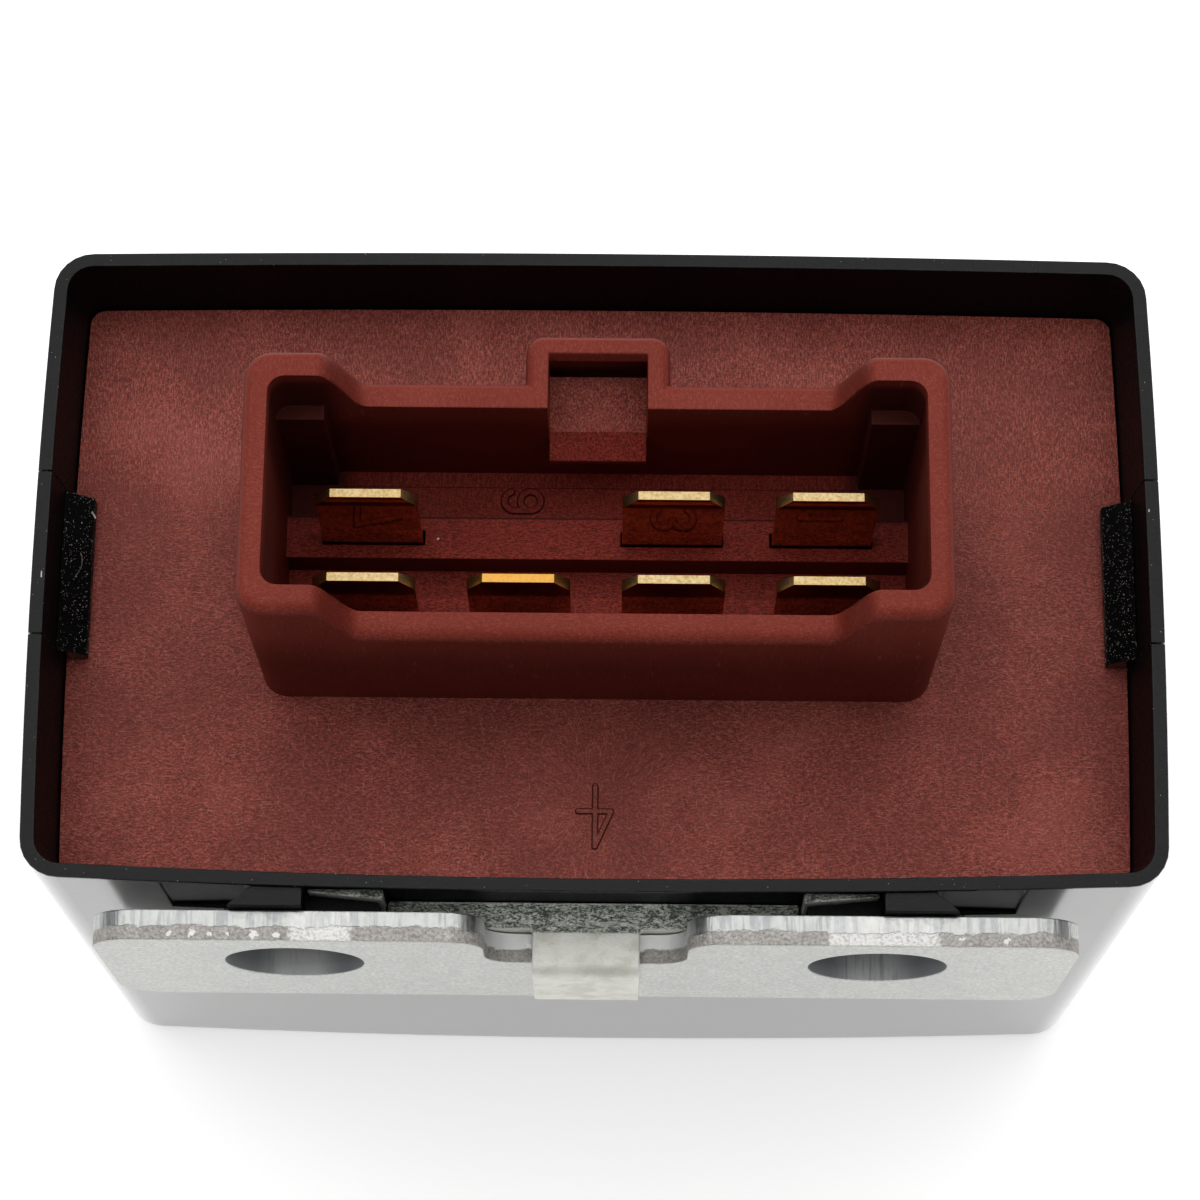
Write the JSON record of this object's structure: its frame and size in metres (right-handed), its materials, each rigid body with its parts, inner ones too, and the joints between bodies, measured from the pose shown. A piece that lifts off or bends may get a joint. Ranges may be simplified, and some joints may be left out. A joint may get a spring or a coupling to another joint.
{
  "type": "automotive relay",
  "caption": "Automotive relay in a black case, with a keyed blade connector on a red-brown base and a steel mounting bracket",
  "frame": {"origin": "centre of the closed end of the case", "axes": "+Z from the closed end to the connector, -Y towards the bracket, +X across the case with the bracket in front"},
  "size_m": [0.0706, 0.0458, 0.064],
  "materials": {
    "case_plastic": "semi-gloss black moulded plastic",
    "base_plastic": "matt red-brown glass-filled plastic",
    "plated_steel": "zinc-plated sheet",
    "hanger_steel": "zinc-plated sheet with sheared edges",
    "terminal_brass": "bright stamped brass",
    "board": "glass-fibre laminate",
    "relay_steel": "nickel-plated iron",
    "bobbin_plastic": "moulded nylon",
    "winding": "enamelled copper wire",
    "spring_bronze": "phosphor bronze strip",
    "contact_silver": "silver contact rivet",
    "solder": "tin solder",
    "diode_body": "moulded epoxy",
    "resistor_body": "lacquered ceramic"
  },
  "bodies": {
    "housing": {"case": "case_plastic", "terminal_base": "base_plastic", "bracket_plate": "plated_steel", "bracket_hanger": "hanger_steel", "circuit_board": "board", "resistor": "resistor_body", "solder_joints": "solder", "blade_1": "terminal_brass", "blade_2": "terminal_brass", "blade_3": "terminal_brass", "blade_4": "terminal_brass", "blade_5": "terminal_brass", "blade_6": "terminal_brass", "blade_7": "terminal_brass", "diode_a": "diode_body", "diode_b": "diode_body", "relay_a_yoke": "relay_steel", "relay_a_core": "relay_steel", "relay_a_bobbin": "bobbin_plastic", "relay_a_coil": "winding", "relay_a_coil_pins": "solder", "relay_a_fixed_contact": "contact_silver", "relay_a_contact_strip": "terminal_brass", "relay_b_yoke": "relay_steel", "relay_b_core": "relay_steel", "relay_b_bobbin": "bobbin_plastic", "relay_b_coil": "winding", "relay_b_coil_pins": "solder", "relay_b_fixed_contact": "contact_silver", "relay_b_contact_strip": "terminal_brass"},
    "relay_a_clapper": {"relay_a_armature": "relay_steel", "relay_a_leaf_spring": "spring_bronze", "relay_a_moving_contact": "contact_silver"},
    "relay_b_clapper": {"relay_b_armature": "relay_steel", "relay_b_leaf_spring": "spring_bronze", "relay_b_moving_contact": "contact_silver"}
  },
  "joints": [
    {"name": "relay_a_close", "type": "hinge", "parent": "housing", "child": "relay_a_clapper", "pos_m": [-0.0164, 0.00975, 0.01915], "axis": [-1, 0, 0], "range_deg": [0, 3], "deforming": ["relay_a_leaf_spring"]},
    {"name": "relay_b_close", "type": "hinge", "parent": "housing", "child": "relay_b_clapper", "pos_m": [0.0164, 0.00975, 0.01915], "axis": [-1, 0, 0], "range_deg": [0, 3], "deforming": ["relay_b_leaf_spring"]}
  ]
}
